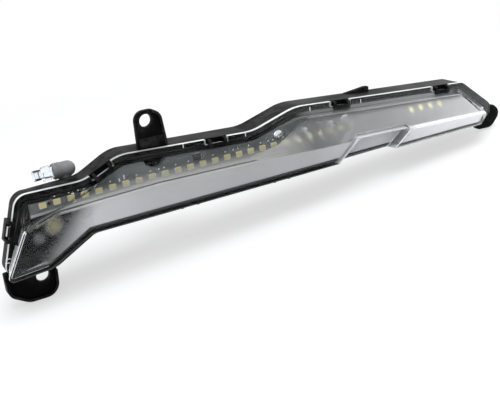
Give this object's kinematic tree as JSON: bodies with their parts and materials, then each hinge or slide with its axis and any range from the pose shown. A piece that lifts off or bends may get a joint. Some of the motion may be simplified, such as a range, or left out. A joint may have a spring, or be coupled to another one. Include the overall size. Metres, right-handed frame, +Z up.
{
  "type": "led position lamp",
  "caption": "Slim vehicle lamp: clear flared lens over a frosted light strip and LED row, snapped onto a black housing with bored mounting lugs.",
  "frame": {"origin": "centre of the upper lug's bore in the plane that the lugs seat on", "axes": "+X along the lamp from the flared end to the slanted end, -Y out of the lit face, +Z up; the low lug and the end tongue reach down to one level"},
  "size_m": [0.4001, 0.0677, 0.0949],
  "materials": {
    "clear_lens": "clear, polished",
    "housing_plastic": "black, fine moulded grain",
    "seal_bead": "tacky black bead",
    "frosted_plastic": "milky, frosted, clear towards the flared end",
    "trim_plastic": "black, smooth",
    "board_mask": "dark solder mask",
    "carrier_aluminium": "milled",
    "led_resin": "yellow resin in a white frame",
    "chip_ceramic": "ceramic with tinned ends",
    "chip_black": "moulded",
    "can_aluminium": "drawn can",
    "screw_steel": "bright plated",
    "header_plastic": "ivory",
    "lead_insulation": "smooth",
    "socket_plastic": "black, satin",
    "blade_brass": "tinned brass",
    "gasket_rubber": "soft",
    "socket_screw_steel": "plated",
    "vent_rubber": "grey, matt",
    "vent_clear": "clear"
  },
  "bodies": {
    "root": {"outer_lens": "clear_lens", "rear_housing": "housing_plastic", "lens_seal": "seal_bead", "inner_lens": "frosted_plastic", "inner_bezel": "trim_plastic", "led_board": "board_mask", "board_carrier": "carrier_aluminium", "led_packages": "led_resin", "board_resistors": "chip_ceramic", "board_drivers": "chip_black", "board_capacitors": "can_aluminium", "board_screws": "screw_steel", "board_header": "header_plastic", "inner_leads": "lead_insulation", "connector_socket": "socket_plastic", "connector_pins": "blade_brass", "connector_gasket": "gasket_rubber", "connector_screws": "socket_screw_steel", "vent_elbow": "vent_rubber", "vent_tube": "vent_clear"}
  },
  "joints": []
}
